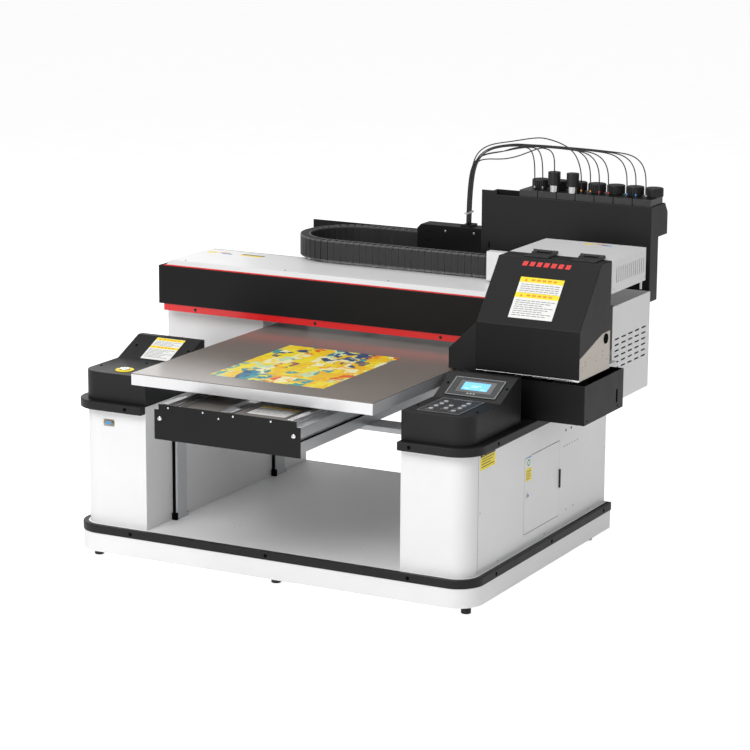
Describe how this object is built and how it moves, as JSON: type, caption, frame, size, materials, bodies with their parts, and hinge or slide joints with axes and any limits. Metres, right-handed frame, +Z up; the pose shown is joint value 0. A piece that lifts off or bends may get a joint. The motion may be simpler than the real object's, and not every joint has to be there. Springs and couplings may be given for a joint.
{
  "type": "flatbed uv printer",
  "caption": "Flatbed ultraviolet printer with a sliding table, a gantry and hooded print carriage, ink tanks with tubes, console and levelling feet.",
  "frame": {"origin": "centre of the base on the floor, the underside of the middle foot", "axes": "+X to the operator's right, +Y into the machine's depth (the front faces -Y), +Z up"},
  "size_m": [1.357, 1.305, 1.0408],
  "materials": {
    "white_sheet": "satin white powder coat",
    "black_sheet": "satin black powder coat",
    "red_sheet": "red enamel",
    "floor_sheet": "glossy light grey",
    "frame_paint": "light grey paint",
    "beige_sheet": "warm grey sheet",
    "table_sheet": "matt brown-grey coating",
    "aluminium": "extruded and milled",
    "steel": "ground",
    "lock_chrome": "polished",
    "foot_black": "black",
    "overlay": "printed membrane",
    "lcd": "blue display window",
    "black_plastic": "moulded",
    "tank_plastic": "dark translucent",
    "tube_plastic": "clear flexible tube"
  },
  "bodies": {
    "base": {"base_plinth": "white_sheet", "base_trim_band": "black_sheet", "levelling_feet": "foot_black", "floor_plate": "floor_sheet", "left_column": "white_sheet", "right_column": "white_sheet", "side_collars": "black_sheet", "left_housing": "black_sheet", "console_housing": "black_sheet", "control_overlays": "overlay", "lcd_screen": "lcd", "support_frame": "frame_paint", "rail_beams": "aluminium", "beam_end_panels": "black_sheet", "linear_rails": "steel", "screw_supports": "black_plastic", "left_upright": "white_sheet", "right_upright": "white_sheet", "gantry_beam": "aluminium", "gantry_front_cover": "black_sheet", "gantry_red_panel": "red_sheet", "gantry_top_cover": "white_sheet", "maintenance_tray": "black_sheet", "ink_cabinet": "black_sheet", "ink_tanks": "tank_plastic", "stirrer_motors": "black_plastic", "cable_chain": "black_plastic", "chain_tray": "black_sheet", "ink_tube_1": "tube_plastic", "ink_tube_2": "tube_plastic", "ink_tube_3": "tube_plastic", "ink_tube_4": "tube_plastic", "ink_tube_5": "tube_plastic", "ink_tube_6": "tube_plastic", "ink_tube_7": "tube_plastic", "ink_tube_8": "tube_plastic", "ink_tube_9": "tube_plastic", "ink_tube_10": "tube_plastic"},
    "table": {"print_table": "aluminium", "table_top_sheet": "table_sheet", "table_bearings": "steel"},
    "screw": {"table_screw": "steel"},
    "carriage": {"carriage_frame": "aluminium", "hood_side_plates": "beige_sheet", "rear_box": "white_sheet", "print_heads": "black_plastic", "uv_lamp": "black_sheet"},
    "hood": {"hood_cover": "black_sheet", "hood_hinges": "black_plastic"},
    "door": {"side_door": "white_sheet"},
    "lock": {"door_lock": "lock_chrome"},
    "button": {"power_button": "steel"},
    "capping": {"capping_station": "black_plastic"},
    "ink_cap_1_body": {"ink_cap_1": "black_plastic"},
    "ink_cap_2_body": {"ink_cap_2": "black_plastic"},
    "ink_cap_3_body": {"ink_cap_3": "black_plastic"},
    "ink_cap_4_body": {"ink_cap_4": "black_plastic"},
    "ink_cap_5_body": {"ink_cap_5": "black_plastic"},
    "ink_cap_6_body": {"ink_cap_6": "black_plastic"},
    "ink_cap_7_body": {"ink_cap_7": "black_plastic"}
  },
  "joints": [
    {"name": "table_slide", "type": "slide", "parent": "base", "child": "table", "axis": [0, 1, 0], "range_m": [-0.29, 0.34]},
    {"name": "screw_turn", "type": "hinge", "parent": "base", "child": "screw", "pos_m": [-0.04, 0, 0.45], "axis": [0, 1, 0], "range_deg": [-4900, 4180]},
    {"name": "carriage_slide", "type": "slide", "parent": "base", "child": "carriage", "axis": [-1, 0, 0], "range_m": [0, 0.84], "deforming": ["cable_chain"]},
    {"name": "hood_hinge", "type": "hinge", "parent": "carriage", "child": "hood", "pos_m": [0.57, 0.1105, 0.811], "axis": [-1, 0, 0], "range_deg": [0, 75]},
    {"name": "door_hinge", "type": "hinge", "parent": "base", "child": "door", "pos_m": [0.552, 0.122, 0.227], "axis": [0, 0, 1], "range_deg": [0, 110]},
    {"name": "lock_turn", "type": "hinge", "parent": "door", "child": "lock", "pos_m": [0.547, -0.071, 0.226], "axis": [1, 0, 0], "range_deg": [0, 90]},
    {"name": "button_press", "type": "slide", "parent": "base", "child": "button", "axis": [0, 0, -1], "range_m": [0, 0.004], "stiffness_N_per_m": 600, "springref_m": -0.004},
    {"name": "capping_lift", "type": "slide", "parent": "base", "child": "capping", "axis": [0, 0, -1], "range_m": [0, 0.015]},
    {"name": "ink_cap_1_lift", "type": "slide", "parent": "base", "child": "ink_cap_1_body", "axis": [0, 0, 1], "range_m": [0, 0.03]},
    {"name": "ink_cap_2_lift", "type": "slide", "parent": "base", "child": "ink_cap_2_body", "axis": [0, 0, 1], "range_m": [0, 0.03]},
    {"name": "ink_cap_3_lift", "type": "slide", "parent": "base", "child": "ink_cap_3_body", "axis": [0, 0, 1], "range_m": [0, 0.03]},
    {"name": "ink_cap_4_lift", "type": "slide", "parent": "base", "child": "ink_cap_4_body", "axis": [0, 0, 1], "range_m": [0, 0.03]},
    {"name": "ink_cap_5_lift", "type": "slide", "parent": "base", "child": "ink_cap_5_body", "axis": [0, 0, 1], "range_m": [0, 0.03]},
    {"name": "ink_cap_6_lift", "type": "slide", "parent": "base", "child": "ink_cap_6_body", "axis": [0, 0, 1], "range_m": [0, 0.03]},
    {"name": "ink_cap_7_lift", "type": "slide", "parent": "base", "child": "ink_cap_7_body", "axis": [0, 0, 1], "range_m": [0, 0.03]}
  ],
  "couplings": [
    {"joint": "screw_turn", "follows": "table_slide", "rad_per_m": -251.33}
  ]
}
